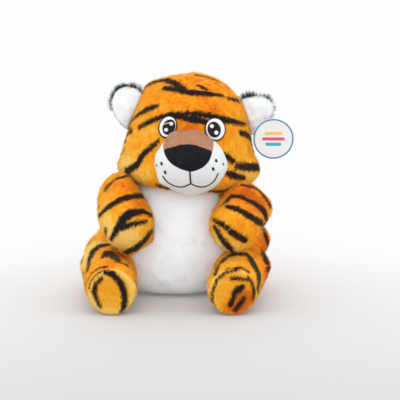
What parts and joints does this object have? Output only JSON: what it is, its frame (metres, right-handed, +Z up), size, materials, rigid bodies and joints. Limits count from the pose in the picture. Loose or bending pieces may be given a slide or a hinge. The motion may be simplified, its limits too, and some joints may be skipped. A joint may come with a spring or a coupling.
{
  "type": "plush tiger",
  "caption": "Seated stuffed tiger with sewn head, arms, legs and tail that turn at their seams, and a round hang tag on its ear.",
  "frame": {"origin": "centre of the flat of the seat, on the surface that the toy sits on", "axes": "+Z up, the toy faces -Y, +X is the toy's own left side"},
  "size_m": [0.2037, 0.2117, 0.2115],
  "materials": {
    "orange_plush": "short pile plush with black stripes",
    "white_plush": "short pile plush",
    "black_plush": "long pile plush",
    "white_velour": "smooth velour",
    "brown_velour": "smooth velour",
    "black_velour": "smooth velour and embroidery",
    "white_felt": "flat embroidery",
    "filling": "polyester fibre",
    "card": "coated card",
    "nylon": "clear filament"
  },
  "bodies": {
    "torso": {"torso_back_cover": "orange_plush", "belly_panel": "white_plush", "torso_stuffing": "filling"},
    "head": {"head_cover": "orange_plush", "head_stuffing": "filling", "muzzle_cover": "white_velour", "muzzle_stuffing": "filling", "nose_bridge": "brown_velour", "nose": "black_velour", "eye_patch_left": "black_velour", "eye_white_left": "white_felt", "eye_pupil_left": "black_velour", "eye_glint_left_upper": "white_felt", "eye_glint_left_lower": "white_felt", "eye_patch_right": "black_velour", "eye_white_right": "white_felt", "eye_pupil_right": "black_velour", "eye_glint_right_upper": "white_felt", "eye_glint_right_lower": "white_felt", "ear_front_left": "white_velour", "ear_back_left": "black_plush", "ear_front_right": "white_velour", "ear_back_right": "black_plush", "tag_filament": "nylon"},
    "arm_left": {"arm_cover_left": "orange_plush", "arm_stuffing_left": "filling"},
    "arm_right": {"arm_cover_right": "orange_plush", "arm_stuffing_right": "filling"},
    "leg_left": {"leg_cover_left": "orange_plush", "sole_panel_left": "orange_plush", "leg_stuffing_left": "filling"},
    "leg_right": {"leg_cover_right": "orange_plush", "sole_panel_right": "orange_plush", "leg_stuffing_right": "filling"},
    "tail": {"tail": "orange_plush"},
    "tag": {"hang_tag": "card"}
  },
  "joints": [
    {"name": "neck", "type": "hinge", "parent": "torso", "child": "head", "pos_m": [0.01047, -0.006, 0.10751], "axis": [0.0785, 0, 0.9969], "range_deg": [-12, 12], "stiffness_Nm_per_rad": 0.08},
    {"name": "shoulder_left", "type": "hinge", "parent": "torso", "child": "arm_left", "pos_m": [0.07371, -0.0085, 0.08279], "axis": [0, 0, 1], "range_deg": [0, 25], "stiffness_Nm_per_rad": 0.02},
    {"name": "shoulder_right", "type": "hinge", "parent": "torso", "child": "arm_right", "pos_m": [-0.0599, -0.0085, 0.09267], "axis": [0, 0, 1], "range_deg": [-25, 0], "stiffness_Nm_per_rad": 0.02},
    {"name": "hip_left", "type": "hinge", "parent": "torso", "child": "leg_left", "pos_m": [0.0735, 0.0285, 0], "axis": [0, 0, 1], "range_deg": [0, 18], "stiffness_Nm_per_rad": 0.04},
    {"name": "hip_right", "type": "hinge", "parent": "torso", "child": "leg_right", "pos_m": [-0.0735, 0.0285, 0], "axis": [0, 0, 1], "range_deg": [-18, 0], "stiffness_Nm_per_rad": 0.04},
    {"name": "tail_root", "type": "hinge", "parent": "torso", "child": "tail", "pos_m": [0, 0.059, 0.024], "axis": [0, 0, 1], "range_deg": [-20, 20], "stiffness_Nm_per_rad": 0.004},
    {"name": "tag_swing", "type": "hinge", "parent": "head", "child": "tag", "pos_m": [0.09398, -0.03, 0.16814], "axis": [0, -1, 0], "range_deg": [-8, 30]}
  ]
}
